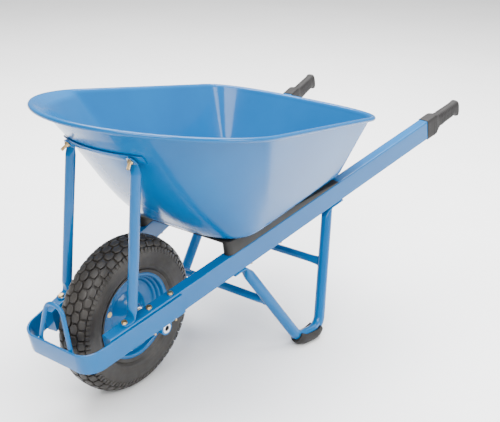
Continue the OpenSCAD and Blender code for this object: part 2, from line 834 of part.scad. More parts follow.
// Height of the tray's floor over the rail at a tray bolt, square to the rail.
function floor_over_rail(s) =
    let (y = s * run, z = rail_top + s * lift)
    (floor_z + floor_slope * (y - floor_y) - z) / (run + floor_slope * lift);
module tray_bolts() color(zinc)
    both_sides() for (s = tray_bolt_s)
        on_rail(s) translate([0, 0, floor_over_rail(s) + tray_t + 1]) round_bolt(rail_h + floor_over_rail(s) + 16);
module tray_nuts() color(zinc)
    both_sides() for (s = tray_bolt_s) on_rail(s) translate([0, 0, -rail_h - 0.1]) hex_nut();

// ---------------------------------------------------------------- nodes

tray();
on_side(1) rail();  // rail_left
on_side(-1) rail();  // rail_right
nose_guard();
nose_hoop();
on_side(1) tray_stay();  // tray_stay_left
on_side(-1) tray_stay();  // tray_stay_right
tray_stay_strap();
on_side(1) riser();  // riser_left
on_side(-1) riser();  // riser_right
tray_front_strip();
on_side(1) leg();  // leg_left
on_side(-1) leg();  // leg_right
leg_brace(brace_front_yz, leg_path[0], leg_path[1]);  // leg_brace_front
leg_brace(brace_rear_yz, leg_path[2], leg_path[3]);  // leg_brace_rear
on_side(1) foot();  // foot_left
on_side(-1) foot();  // foot_right
on_side(1) grip();  // grip_left
on_side(-1) grip();  // grip_right
axle();
on_side(1) axle_bracket();  // axle_bracket_left
on_side(-1) axle_bracket();  // axle_bracket_right
on_side(1) axle_spacer();  // axle_spacer_left
on_side(-1) axle_spacer();  // axle_spacer_right
hub_spacer();
on_side(1) bearing_inner();  // bearing_inner_left
on_side(-1) bearing_inner();  // bearing_inner_right
on_side(1) bearing_outer();  // bearing_outer_left
on_side(-1) bearing_outer();  // bearing_outer_right
on_side(1) bearing_cage();  // bearing_cage_left
on_side(-1) bearing_cage();  // bearing_cage_right
on_side(1) bearing_balls();  // bearing_balls_left
on_side(-1) bearing_balls();  // bearing_balls_right
hub();
on_side(1) rim_half();  // rim_left
on_side(-1) rim_half();  // rim_right
rim_bolts();
rim_nuts();
tyre();
inner_tube();
valve_stem();
valve_cap();
stay_foot_bolts();
stay_foot_nuts();
stay_top_bolts();
stay_top_nuts();
bracket_bolts();
bracket_nuts();
leg_bolts();
leg_nuts();
tray_bolts();
tray_nuts();
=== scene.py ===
"""Looks of the wheelbarrow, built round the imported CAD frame."""

import json
import math
import random

import bmesh
import bpy
from mathutils import Matrix, Vector


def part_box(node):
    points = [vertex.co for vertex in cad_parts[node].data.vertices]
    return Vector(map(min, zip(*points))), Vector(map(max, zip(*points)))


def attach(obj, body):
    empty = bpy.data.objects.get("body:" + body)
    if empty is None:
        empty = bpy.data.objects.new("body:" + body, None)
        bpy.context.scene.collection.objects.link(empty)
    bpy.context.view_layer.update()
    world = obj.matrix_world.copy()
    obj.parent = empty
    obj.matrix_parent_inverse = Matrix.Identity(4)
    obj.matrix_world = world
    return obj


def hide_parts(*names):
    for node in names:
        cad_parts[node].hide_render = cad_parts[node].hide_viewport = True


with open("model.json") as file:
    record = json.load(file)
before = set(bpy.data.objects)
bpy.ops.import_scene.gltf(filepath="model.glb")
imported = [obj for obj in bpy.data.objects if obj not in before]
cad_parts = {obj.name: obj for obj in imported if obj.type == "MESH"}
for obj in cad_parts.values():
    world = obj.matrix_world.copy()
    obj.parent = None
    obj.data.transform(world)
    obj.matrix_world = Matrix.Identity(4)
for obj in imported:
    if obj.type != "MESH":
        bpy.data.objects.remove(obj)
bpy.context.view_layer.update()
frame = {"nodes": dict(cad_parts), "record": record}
random.seed(7)
MM = 0.001


def centre_of(node):
    low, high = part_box(node)
    return (low + high) / 2


# ------------------------------------------------------------------ where things are, in mm

AXLE = centre_of("axle") / MM
AXLE_Y = AXLE.y
AXLE_Z = AXLE.z
RISE = math.radians(12)
SPLAY = math.radians(7)
RUN = math.cos(RISE)
LIFT = math.sin(RISE)
RAIL_TOP = 275
RAIL_SPREAD = 243
RAIL_W = 32
RAIL_H = 60
SIDE_SLOPE = math.tan(SPLAY)


def rail_u(s):
    return RAIL_SPREAD / 2 + s * SIDE_SLOPE


def rail_x(y):
    return rail_u(y / RUN)


def rail_z(y):
    return RAIL_TOP + y * LIFT / RUN


def rail_bottom_z(y):
    return rail_z(y) - RAIL_H / RUN


def from_axle(x, y, z):
    """A point given from the floor under the axle."""
    return Vector((x, y + AXLE_Y, z))


def in_plane(u, s, n):
    """A point in the rails' plane: across, along the rise, and square to it."""
    return from_axle(u, s * RUN - n * LIFT, RAIL_TOP + s * LIFT + n * RUN)


def rail_matrix(s=0.0):
    """The left rail's own frame: X across it, Y along it, Z out of its top face."""
    return (
        Matrix.Translation((0, AXLE_Y, RAIL_TOP))
        @ Matrix.Rotation(RISE, 4, "X")
        @ Matrix.Translation((RAIL_SPREAD / 2, 0, 0))
        @ Matrix.Rotation(-SPLAY, 4, "Z")
        @ Matrix.Translation((0, s / math.cos(SPLAY), 0))
    )


def on_rail(s, x, y, z):
    return rail_matrix(s) @ Vector((x, y, z))


# ------------------------------------------------------------------ mesh helpers


class Shape:
    """Vertices in mm and faces, gathered before they become one mesh."""

    def __init__(self):
        self.verts = []
        self.faces = []

    def grid(self, rings, closed=True, caps=True):
        """Skins rings of points that all have the same length."""
        base = len(self.verts)
        count = len(rings[0])
        for ring in rings:
            self.verts.extend(Vector(p) for p in ring)
        for j in range(len(rings) - 1):
            for i in range(count if closed else count - 1):
                k = (i + 1) % count
                a = base + j * count
                b = a + count
                self.faces.append((a + i, a + k, b + k, b + i))
        if caps:
            self.faces.append(tuple(base + i for i in reversed(range(count))))
            last = base + (len(rings) - 1) * count
            self.faces.append(tuple(last + i for i in range(count)))
        return self

    def add(self, other, matrix=None):
        base = len(self.verts)
        for v in other.verts:
            self.verts.append(matrix @ v if matrix is not None else v.copy())
        self.faces.extend(tuple(base + i for i in f) for f in other.faces)
        return self

    def mirrored(self):
        other = Shape()
        other.verts = [Vector((-v.x, v.y, v.z)) for v in self.verts]
        other.faces = [tuple(reversed(f)) for f in self.faces]
        return other


def piece(name, shape, body, material, replaces, sharp=35.0):
    """One mesh object that rides on a body, takes a record slot's finish and stands in for CAD nodes."""
    mesh = bpy.data.meshes.new(name)
    mesh.from_pydata([v * MM for v in shape.verts], [], shape.faces)
    tidy = bmesh.new()
    tidy.from_mesh(mesh)
    bmesh.ops.remove_doubles(tidy, verts=tidy.verts, dist=1e-6)
    bmesh.ops.recalc_face_normals(tidy, faces=tidy.faces)
    tidy.to_mesh(mesh)
    tidy.free()
    mesh.polygons.foreach_set("use_smooth", [True] * len(mesh.polygons))
    mesh.set_sharp_from_angle(angle=math.radians(sharp))
    mesh.materials.append(material)
    obj = bpy.data.objects.new(name, mesh)
    bpy.context.scene.collection.objects.link(obj)
    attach(obj, body)
    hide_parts(*replaces)


def pair(name, shape, body, material, replaces, sharp):
    """The left piece and its mirror image."""
    for side, part in (("left", shape), ("right", shape.mirrored())):
        piece(f"{name}_{side}", part, body, material, [f"{replaces}_{side}"], sharp)


def circle(radius, count):
    angles = [2 * math.pi * i / count for i in range(count)]
    return [(radius * math.cos(a), radius * math.sin(a)) for a in angles]


def rounded_box(w, h, r, steps):
    points = []
    for corner in range(4):
        cx = (w / 2 - r) * (1 if corner in (0, 3) else -1)
        cy = (h / 2 - r) * (1 if corner < 2 else -1)
        for i in range(steps + 1):
            a = math.radians(90 * corner + 90 * i / steps)
            points.append((cx + r * math.cos(a), cy + r * math.sin(a)))
    return points


def signed_power(value, power):
    return math.copysign(abs(value) ** power, value)


def superellipse(half_w, half_h, n, count):
    """An oval that grows squarer as n rises from 2."""
    points = []
    for i in range(count):
        a = 2 * math.pi * i / count
        points.append((half_w * signed_power(math.cos(a), 2 / n), half_h * signed_power(math.sin(a), 2 / n)))
    return points


def placed(section, origin, x_dir, y_dir):
    return [origin + x_dir * x + y_dir * y for x, y in section]


def bezier(a, b, c, t):
    return a * (1 - t) ** 2 + b * 2 * t * (1 - t) + c * t * t


def bent_path(points, radii, steps):
    """Points along straight runs joined by bends, with a radius for each corner."""
    path = [points[0]]
    for before, corner, after, radius in zip(points, points[1:], points[2:], radii):
        a = (corner - before).normalized()
        b = (after - corner).normalized()
        turn = a.angle(b)
        trim = radius * math.tan(turn / 2)
        inward = (b - a * a.dot(b)).normalized()
        start = corner - a * trim
        centre = start + inward * radius
        for i in range(steps + 1):
            t = turn * i / steps
            path.append(centre - inward * radius * math.cos(t) + a * radius * math.sin(t))
    path.append(points[-1])
    return path


def sweep(path, section, across):
    """Carries a section along a path. section may be one outline or one for each point."""
    rings = []
    for i, p in enumerate(path):
        ahead = path[min(i + 1, len(path) - 1)] - p
        behind = p - path[max(i - 1, 0)]
        along = (ahead.normalized() + behind.normalized()).normalized()
        y_dir = along.cross(across).normalized()
        x_dir = y_dir.cross(along).normalized()
        outline = section[i] if isinstance(section[0][0], (tuple, list)) else section
        rings.append(placed(outline, p, x_dir, y_dir))
    return Shape().grid(rings)


def resampled(path, gap):
    """The same line with a point at least every gap."""
    points = [path[0]]
    for a, b in zip(path, path[1:]):
        count = max(1, int((b - a).length / gap))
        points.extend(a.lerp(b, (i + 1) / count) for i in range(count))
    return points


def distances_along(path):
    distances = [0.0]
    for a, b in zip(path, path[1:]):
        distances.append(distances[-1] + (b - a).length)
    return distances


def clamped(t):
    return min(max(t, 0.0), 1.0)


def eased(t):
    """Turns a straight rise from 0 to 1 into one that starts and ends level."""
    return t * t * (3 - 2 * t)


def mixed(a, b, t):
    """An outline between two others that have as many points."""
    t = eased(t)
    return [(p[0] * (1 - t) + q[0] * t, p[1] * (1 - t) + q[1] * t) for p, q in zip(a, b)]


def lathe(profile, count):
    """Turns a closed outline of (x, radius) pairs about the axle."""
    rings = []
    for i in range(count):
        a = 2 * math.pi * i / count
        rings.append([Vector((x, AXLE_Y + r * math.cos(a), AXLE_Z + r * math.sin(a))) for x, r in profile])
    rings.append(rings[0])
    return Shape().grid(rings, caps=False)


def smoothed(profile, rounds):
    """Cuts the corners of an open outline."""
    for _ in range(rounds):
        cut = [profile[0]]
        for (ax, ay), (bx, by) in zip(profile, profile[1:]):
            cut.append((ax * 0.75 + bx * 0.25, ay * 0.75 + by * 0.25))
            cut.append((ax * 0.25 + bx * 0.75, ay * 0.25 + by * 0.75))
        cut.append(profile[-1])
        profile = cut
    return profile


def thick(profile, t):
    """A closed outline t thick round an open one."""
    left, right = [], []
    for i, (x, y) in enumerate(profile):
        ax, ay = profile[max(i - 1, 0)]
        bx, by = profile[min(i + 1, len(profile) - 1)]
        size = math.hypot(bx - ax, by - ay)
        nx, ny = -(by - ay) / size * t / 2, (bx - ax) / size * t / 2
        left.append((x + nx, y + ny))
        right.append((x - nx, y - ny))
    return left + right[::-1]


def weld_bead(path, radius, across):
    """A rippled bead of weld along a line."""
    line = resampled(path, 1.1)
    swells = [1 + 0.16 * math.sin(i * 1.7) + random.uniform(-0.05, 0.05) for i in range(len(line))]
    return sweep(line, [circle(radius * swell, 10) for swell in swells], across)


# ------------------------------------------------------------------ materials


class Nodes:
    """A principled material with short calls for its node tree."""

    def __init__(self, name):
        self.material = bpy.data.materials.new(name)
        self.material.use_nodes = True
        self.tree = self.material.node_tree
        self.shader = self.tree.nodes["Principled BSDF"]
        self.coord = self.tree.nodes.new("ShaderNodeTexCoord").outputs["Object"]

    def link(self, a, b):
        self.tree.links.new(a, b)

    def noise(self, scale, detail=4.0, rough=0.55, stretch=None):
        node = self.tree.nodes.new("ShaderNodeTexNoise")
        node.inputs["Scale"].default_value = scale
        node.inputs["Detail"].default_value = detail
        node.inputs["Roughness"].default_value = rough
        source = self.coord
        if stretch:
            mapping = self.tree.nodes.new("ShaderNodeMapping")
            mapping.inputs["Scale"].default_value = stretch
            self.link(self.coord, mapping.inputs["Vector"])
            source = mapping.outputs["Vector"]
        self.link(source, node.inputs["Vector"])
        return node.outputs["Fac"]

    def voronoi(self, scale, feature="F1"):
        node = self.tree.nodes.new("ShaderNodeTexVoronoi")
        node.feature = feature
        node.inputs["Scale"].default_value = scale
        self.link(self.coord, node.inputs["Vector"])
        return node.outputs["Distance"]

    def ramp(self, value, stops):
        node = self.tree.nodes.new("ShaderNodeValToRGB")
        while len(node.color_ramp.elements) < len(stops):
            node.color_ramp.elements.new(0.5)
        for element, (place, colour) in zip(node.color_ramp.elements, stops):
            element.position = place
            element.color = (*colour, 1)
        self.link(value, node.inputs["Fac"])
        return node.outputs["Color"]

    def range(self, value, low, high):
        node = self.tree.nodes.new("ShaderNodeMapRange")
        node.inputs["From Min"].default_value = 0.3
        node.inputs["From Max"].default_value = 0.7
        node.inputs["To Min"].default_value = low
        node.inputs["To Max"].default_value = high
        self.link(value, node.inputs["Value"])
        return node.outputs["Result"]

    def mix(self, factor, a, b):
        node = self.tree.nodes.new("ShaderNodeMix")
        node.data_type = "RGBA"
        for socket, value in ((node.inputs["Factor"], factor), (node.inputs[6], a), (node.inputs[7], b)):
            if isinstance(value, bpy.types.NodeSocket):
                self.link(value, socket)
            else:
                socket.default_value = value
        return node.outputs[2]

    def bump(self, height, strength, distance, under=None):
        node = self.tree.nodes.new("ShaderNodeBump")
        node.inputs["Strength"].default_value = strength
        node.inputs["Distance"].default_value = distance
        self.link(height, node.inputs["Height"])
        if under is not None:
            self.link(under, node.inputs["Normal"])
        return node.outputs["Normal"]

    def set(self, **values):
        names = {
            "metallic": "Metallic",
            "roughness": "Roughness",
            "coat": "Coat Weight",
            "coat_roughness": "Coat Roughness",
            "specular": "Specular IOR Level",
            "colour": "Base Color",
            "normal": "Normal",
        }
        for key, value in values.items():
            socket = self.shader.inputs[names[key]]
            if isinstance(value, bpy.types.NodeSocket):
                self.link(value, socket)
            else:
                socket.default_value = value
        return self.material


def paint_material():
    """Blue powder coat: glossy, with a faint orange-peel skin and slight unevenness."""
    n = Nodes("blue_powder_coat")
    broad = n.noise(5.0, 3.0)
    specks = n.noise(420.0, 2.0)
    colour = n.ramp(broad, [(0.3, (0.0, 0.082, 0.24)), (0.7, (0.0, 0.096, 0.27))])
    colour = n.mix(n.range(specks, 0.0, 0.05), colour, (0.0, 0.05, 0.16, 1))
    peel = n.bump(n.noise(260.0, 2.0), 0.05, 0.0006)
    wave = n.bump(n.noise(14.0, 2.0), 0.05, 0.004, peel)
    return n.set(
        colour=colour,
        roughness=n.range(n.noise(38.0), 0.18, 0.26),
        specular=0.16,
        normal=wave,
        coat=0.2,
        coat_roughness=0.03,
    )


def plastic_material(name, base, grain=900.0, rough=(0.5, 0.62)):
    n = Nodes(name)
    colour = n.ramp(n.noise(30.0, 5.0), [(0.3, base), (0.75, tuple(c * 1.35 + 0.004 for c in base))])
    fine = n.bump(n.voronoi(grain), 0.25, 0.0003)
    coarse = n.bump(n.noise(70.0, 3.0), 0.12, 0.0008, fine)
    return n.set(colour=colour, roughness=n.range(n.noise(60.0), *rough), specular=0.22, normal=coarse)


def tyre_material():
    """Matt rubber with a dusty bloom."""
    n = Nodes("tyre_rubber")
    dust = n.noise(22.0, 8.0, 0.7)
    stops = [(0.25, (0.016, 0.014, 0.013)), (0.55, (0.025, 0.022, 0.019)), (0.8, (0.048, 0.043, 0.037))]
    colour = n.ramp(dust, stops)
    fine = n.bump(n.noise(1400.0, 3.0), 0.3, 0.0003)
    broad = n.bump(n.noise(120.0, 4.0), 0.15, 0.0006, fine)
    return n.set(colour=colour, roughness=n.range(n.noise(45.0), 0.42, 0.6), specular=0.35, normal=broad)


def metal_material(name, low, high, rough, stretch=(1, 1, 1), scale=300.0):
    n = Nodes(name)
    colour = n.ramp(n.noise(90.0, 4.0), [(0.3, low), (0.7, high)])
    lines = n.bump(n.noise(scale, 3.0, 0.6, stretch), 0.2, 0.0002)
    return n.set(colour=colour, metallic=1.0, roughness=n.range(n.noise(150.0), *rough), normal=lines)


paint = paint_material()
moulded = plastic_material("moulded_black", (0.012, 0.011, 0.010))
grip_rubber = plastic_material("grip_rubber", (0.013, 0.012, 0.012), 1300.0, (0.55, 0.7))
tube_rubber = plastic_material("tube_rubber", (0.012, 0.012, 0.012), 1500.0, (0.5, 0.6))
tyre_rubber = tyre_material()
zinc_yellow = metal_material("zinc_yellow", (0.56, 0.36, 0.14), (0.72, 0.55, 0.30), (0.28, 0.42))
zinc_white = metal_material("zinc_white", (0.62, 0.63, 0.65), (0.80, 0.81, 0.82), (0.22, 0.36), (1, 12, 12))
bearing_steel = metal_material("bearing_steel", (0.52, 0.53, 0.55), (0.66, 0.67, 0.69), (0.16, 0.28))
cage_steel = metal_material("cage_steel", (0.40, 0.32, 0.20), (0.52, 0.43, 0.28), (0.35, 0.5))
SLOT_MATERIALS = {
    "paint": paint,
    "moulded_black": moulded,
    "grip_rubber": grip_rubber,
    "tyre_rubber": tyre_rubber,
    "tube_rubber": tube_rubber,
    "zinc_yellow": zinc_yellow,
    "zinc_white": zinc_white,
    "bearing_steel": bearing_steel,
    "cage_steel": cage_steel,
}


def dress_cad_nodes():
    """Gives every CAD node the finish of its slot in the record."""
    for entry in frame["record"]["subparts"]:
        node = frame["nodes"][entry["node"]]
        material = SLOT_MATERIALS[entry["material_slot"]]
        if not node.data.materials:
            node.data.materials.append(material)
        for slot in node.material_slots:
            slot.material = material


# ------------------------------------------------------------------ tray

TRAY_T = 1.5
BEAD_R = 5.8
FLANGE = 8
BULGE = 18
BULGE_SCALE = 9.48  # makes t * (1 - t) ** 3 peak at 1
CORNER_INSET = 24
FILLET = 24
FLOOR_Y = 210
FLOOR_Z = 363
FLOOR_SLOPE = 0.12
RIM_Z = 700.8
RIM_FALL = 0.158
# Half ovals: half width, reach from the widest line, that line's y, and squareness
FRONT_RIM = (326, 325, 163, 1.88)
REAR_RIM = (290, 128, 634, 2.7)
FRONT_FLOOR = (204, 122, 312, 3.3)
REAR_FLOOR = (204, 45, 622, 3.4)
HALF_STEPS = 90
SIDE_STEPS = 26


def half_oval(oval, direction):
    half_w, reach, middle_y, n = oval
    points = []
    for i in range(HALF_STEPS):
        a = math.pi * i / (HALF_STEPS - 1)
        y = middle_y + direction * reach * max(math.sin(a), 0.0) ** (2 / n)
        points.append((half_w * signed_power(math.cos(a), 2 / n), y))
    return points


def eased_point(p, q, r):
    """A point moved towards its two neighbours by a quarter of the way to each."""
    return tuple(0.25 * a + 0.5 * b + 0.25 * c for a, b, c in zip(p, q, r))


def outline(front, rear):
    """Front oval, straight side, rear oval and straight side, with the joins eased."""
    a = half_oval(front, -1)
    b = half_oval(rear, 1)[::-1]
    line = list(a)
    for start, end, tail in ((a[-1], b[0], b), (b[-1], a[0], [])):
        for i in range(1, SIDE_STEPS):
            t = i / SIDE_STEPS
            line.append((start[0] * (1 - t) + end[0] * t, start[1] * (1 - t) + end[1] * t))
        line.extend(tail)
    for _ in range(3):
        before = line[-1:] + line[:-1]
        after = line[1:] + line[:1]
        line = [eased_point(p, q, r) for p, q, r in zip(before, line, after)]
    return line


def rim_height(y):
    return RIM_Z - RIM_FALL * y


def floor_height(y):
    return FLOOR_Z + FLOOR_SLOPE * (y - FLOOR_Y)


def outward(line):
    """The level direction out of an outline at each of its points."""
    result = []
    for i in range(len(line)):
        dx = line[(i + 1) % len(line)][0] - line[i - 1][0]
        dy = line[(i + 1) % len(line)][1] - line[i - 1][1]
        size = math.hypot(dx, dy)
        result.append(Vector((-dy / size, dx / size, 0)))
    return result


RIM_LINE = outline(FRONT_RIM, REAR_RIM)
FLOOR_LINE = outline(FRONT_FLOOR, REAR_FLOOR)
STATIONS = len(RIM_LINE)
BEAD = [Vector((x, y, rim_height(y))) for x, y in RIM_LINE]
RIM_OUT = outward(RIM_LINE)
FLOOR_OUT = outward(FLOOR_LINE)
UP = Vector((0, 0, 1))


def on_floor(x, y):
    return Vector((x, y, floor_height(y)))


def wall_point(i, t):
    """The wall's outer face, from t = 0 at the floor's corner to t = 1 under the rim."""
    i %= STATIONS
    frontness = max(0.0, -RIM_OUT[i].y)
    inset = FLANGE + CORNER_INSET * 4 * frontness * (1 - frontness)
    low = on_floor(*FLOOR_LINE[i])
    high = BEAD[i] - RIM_OUT[i] * inset
    return low.lerp(high, t) + RIM_OUT[i] * BULGE * BULGE_SCALE * t * (1 - t) ** 3 * frontness


def fillet_point(i, s):
    corner = wall_point(i, 0)
    inner_x = FLOOR_LINE[i][0] - FILLET * FLOOR_OUT[i].x
    inner_y = FLOOR_LINE[i][1] - FILLET * FLOOR_OUT[i].y
    rise = FILLET / (wall_point(i, 1) - corner).length
    return bezier(on_floor(inner_x, inner_y), corner, wall_point(i, rise), s)


SPINE_FRONT_Y = 330
SPINE_REAR_Y = 520


def floor_rings():
    """Rings that shrink from the fillet's foot to a line along the floor's middle."""
    rings = []
    for k in range(1, 8):
        t = k / 8
        ring = []
        for i in range(STATIONS):
            edge = fillet_point(i, 0)
            spine_y = min(max(edge.y, SPINE_FRONT_Y), SPINE_REAR_Y)
            ring.append(on_floor(edge.x * t, spine_y * (1 - t) + edge.y * t))
        rings.append(ring)
    return rings


def grid_normals(grid):
    """The direction out of a closed grid of rings at each of its points."""
    normals = []
    for j, ring in enumerate(grid):
        above = grid[min(j + 1, len(grid) - 1)]
        below = grid[max(j - 1, 0)]
        row = []
        for i in range(STATIONS):
            around = ring[(i + 1) % STATIONS] - ring[i - 1]
            row.append(around.cross(below[i] - above[i]).normalized())
        normals.append(row)
    return normals


WALL_LEVELS = (0.12, 0.2, 0.3, 0.4, 0.5, 0.6, 0.7, 0.8, 0.88, 0.94, 0.97)


def tray_shape():
    """A thin pressed shell: floor, fillet, wall and neck, the rolled bead, then back down the inside."""
    wall = floor_rings()
    wall += [[fillet_point(i, s / 10) for i in range(STATIONS)] for s in range(11)]
    wall += [[wall_point(i, t) for i in range(STATIONS)] for t in WALL_LEVELS]
    normals = grid_normals(wall)
    inner = [[p - n * TRAY_T for p, n in zip(ring, row)] for ring, row in zip(wall, normals)]

    def at_rim(i, out, up):
        return BEAD[i] + RIM_OUT[i] * out + UP * up

    def bead_ring(degrees):
        a = math.radians(degrees)
        return [at_rim(i, BEAD_R * math.cos(a), BEAD_R * math.sin(a)) for i in range(STATIONS)]

    neck = [
        [bezier(wall[-1][i], at_rim(i, -7.5, -2.0), at_rim(i, -3.6, -4.8), t) for i in range(STATIONS)]
        for t in (0.25, 0.5, 0.75)
    ]
    bead = [bead_ring(a) for a in range(-127, 106, 15)]
    lip = [
        [bezier(at_rim(i, -1.6, 5.8), at_rim(i, -8.5, 5.4), inner[-1][i], t) for i in range(STATIONS)]
        for t in (0.15, 0.3, 0.45, 0.6, 0.75, 0.9)
    ]
    rings = wall + neck + bead + lip + inner[::-1]
    return Shape().grid([[p + Vector((0, AXLE_Y, 0)) for p in ring] for ring in rings])


STAY_LEVEL = 0.77


def station_at(x):
    """The front station whose wall lies nearest a place across, at the stays' level."""
    return min(range(HALF_STEPS), key=lambda i: abs(wall_point(i, STAY_LEVEL).x - x))


def wall_frame(i, t):
    """Point, direction across, up the wall and out of it."""
    p = wall_point(i, t)
    up = (wall_point(i, t + 0.05) - wall_point(i, t - 0.05)).normalized()
    across = wall_point(i - 2, t) - wall_point(i + 2, t)
    across = (across - up * across.dot(up)).normalized()
    return p, across, up, across.cross(up).normalized()


# ------------------------------------------------------------------ tyre and rims

TYRE_R = 200
CROWN_B = 46
SECTION_R = TYRE_R - CROWN_B
TYRE_HALF_W = 48
TREAD_H = 6.5
CROWN_POWER = 0.8


def crown(theta, grow):
    """A point of the tyre's half section. theta = 90 degrees is the middle of the crown."""
    x = (TYRE_HALF_W + grow) * signed_power(math.cos(theta), CROWN_POWER)
    r = SECTION_R + signed_power(math.sin(theta), CROWN_POWER) * (CROWN_B + grow)
    return x, r


# Foot of the tyre's half section on the rim: (x, radius)
BEAD_FOOT = [
    (22, 104.4), (27, 104.2), (31.5, 105.2), (34.5, 109),
    (36.5, 113), (37.8, 116.5), (38.6, 118.2), (38.4, 119.8),
]
# Moulded ridges round the sidewall: place in degrees, width and height
SIDEWALL_RIDGES = ((-30, 2.4, 1.1), (-20, 1.8, 0.9), (2, 2.0, 0.9))


def carcass_profile():
    """The tyre's body: ridged sidewalls, and a crown sunk by the tread's height."""
    right = list(BEAD_FOOT)
    for k in range(46):
        degrees = -48 + 138 * k / 45
        crowned = eased(clamped((degrees - 12) / 22))
        ridge = sum(h * math.exp(-(((degrees - place) / w) ** 2)) for place, w, h in SIDEWALL_RIDGES)
        right.append(crown(math.radians(degrees), ridge - TREAD_H * crowned - 1.1 * (1 - crowned)))
    left = [(-x, r) for x, r in right[:-1]][::-1]
    return right + left


def crown_table():
    """Arc length across the crown against theta, on the tread's outer surface."""
    table = [(0.0, math.pi / 2)]
    last = crown(math.pi / 2, 0)
    for k in range(1, 400):
        theta = math.pi / 2 - k * 0.004
        now = crown(theta, 0)
        table.append((table[-1][0] + math.hypot(now[0] - last[0], now[1] - last[1]), theta))
        last = now
    return table


CROWN_TABLE = crown_table()


def tread_point(w, angle, height):
    """A point at arc length w from the tyre's middle, at an angle round the axle."""
    side = math.copysign(1, w)
    want = abs(w)
    index = min(int(want / CROWN_TABLE[-1][0] * len(CROWN_TABLE)), len(CROWN_TABLE) - 1)
    while index > 0 and CROWN_TABLE[index][0] > want:
        index -= 1
    while index < len(CROWN_TABLE) - 1 and CROWN_TABLE[index + 1][0] < want:
        index += 1
    low = CROWN_TABLE[index]
    high = CROWN_TABLE[min(index + 1, len(CROWN_TABLE) - 1)]
    span = high[0] - low[0]
    t = (want - low[0]) / span if span else 0.0
    x, r = crown(low[1] * (1 - t) + high[1] * t, height - TREAD_H)
    return Vector((side * x, AXLE_Y + r * math.cos(angle), AXLE_Z + r * math.sin(angle)))


LUG_LEVELS = ((-1.0, -1.2), (-0.965, TREAD_H - 1.4), (-0.9, TREAD_H - 0.35), (-0.8, TREAD_H))


def lug_axis():
    """Places across a lug, from edge to edge, with the height that each allows."""
    low = list(LUG_LEVELS)
    middle = [(-0.4, TREAD_H), (0.0, TREAD_H), (0.4, TREAD_H)]
    high = [(-p, h) for p, h in reversed(low)]
    return low + middle + high


def lug(w_middle, angle_middle, half_w, half_l, taper, skew):
    """One block of tread: narrower at its ends by taper, and leaned by skew."""
    axis = lug_axis()
    rings = []
    for v, hv in axis:
        ring = []
        for u, hu in axis:
            narrow = 1 - taper * max(0.0, abs(v) - 0.25) / 0.75
            w = w_middle + u * half_w * narrow + v * skew
            angle = angle_middle + v * half_l / TYRE_R
            ring.append(tread_point(w, angle, min(hu, hv)))
        rings.append(ring)
    return Shape().grid(rings, closed=False, caps=False)


LUG_COUNT = 44
# Lugs beside the middle row: place across, share of the pitch, half width, half length, taper and skew
SIDE_LUGS = (
    (21.2, 0.5, 10.4, 12.2, 0.42, 0.0),
    (40.5, 0.0, 9.2, 12.0, 0.3, 1.2),
    (57.5, 0.28, 7.4, 5.6, 0.12, 0.8),
    (57.5, 0.74, 7.4, 5.6, 0.12, 0.8),
)


def tread_shape():
    """Rows of hexagonal blocks round the crown, with short bars at the shoulders."""
    shape = Shape()
    pitch = 2 * math.pi / LUG_COUNT
    for i in range(LUG_COUNT):
        angle = i * pitch
        shape.add(lug(0, angle, 10.6, 12.2, 0.42, 0.0))
        for side in (1, -1):
            for place, share, half_w, half_l, taper, skew in SIDE_LUGS:
                shape.add(lug(side * place, angle + pitch * share, half_w, half_l, taper, side * skew))
    return shape


def rim_profile():
    """One pressed half: the flange outside the bead, steps down the bowl, the flat and the hub's cone."""
    flange = [(35.6, 111.2), (34.2, 110.6), (33.4, 108.5), (32.5, 104.2), (30.5, 102.8), (24.0, 102.2)]
    first_step = [(21.6, 101.0), (20.6, 97.4), (18.6, 95.8), (14.4, 95.2)]
    second_step = [(12.2, 93.8), (11.2, 90.0), (9.2, 88.0), (6.4, 87.0)]
    flat = [(4.4, 85.0), (2.6, 80.5), (1.4, 76.0), (1.3, 58.0)]
    cone = [(3.4, 53.5), (8.0, 47.5), (12.4, 43.0), (18.6, 35.0), (22.6, 30.0), (24.0, 27.2)]
    return thick(smoothed(flange + first_step + second_step + flat + cone, 2), 2.4)


# ------------------------------------------------------------------ fasteners


HEX_FLAT = 6.5
WASHER_R = 7.6
WASHER_T = 1.2
SHANK_R = 4
THREAD_PITCH = 1.25
THREAD_LENGTH = 24
CUP_R = 8.5


def circle3(radius, z, count=32):
    return [Vector((x, y, z)) for x, y in circle(radius, count)]


def hex_ring(z):
    """A hexagon with four points along each side."""
    corners = circle3(HEX_FLAT / math.cos(math.radians(30)), z, 6)
    return [a.lerp(b, t) for a, b in zip(corners, corners[1:] + corners[:1]) for t in (0, 0.25, 0.5, 0.75)]


def clipped_ring(z, limit):
    """A hexagon whose corners are turned off at a radius, given in half widths across flats."""
    ring = []
    for p in hex_ring(z):
        k = min(1.0, HEX_FLAT * limit / math.hypot(p.x, p.y))
        ring.append(Vector((p.x * k, p.y * k, z)))
    return ring


def hex_body(low, high, chamfer_low):
    """A hexagon with its top corners turned off, and its lower ones too on a nut."""
    if chamfer_low:
        rings = [clipped_ring(low, 0.96), clipped_ring(low + 0.9, 1.1)]
    else:
        rings = [hex_ring(low)]
    rings += [hex_ring(high - 1.1), clipped_ring(high - 0.35, 1.04), clipped_ring(high, 0.95)]
    return Shape().grid(rings)


def washer(low, high):
    ease = 0.3
    steps = ((WASHER_R - ease, low), (WASHER_R, low + ease), (WASHER_R, high - ease), (WASHER_R - ease, high))
    return Shape().grid([circle3(r, z) for r, z in steps])


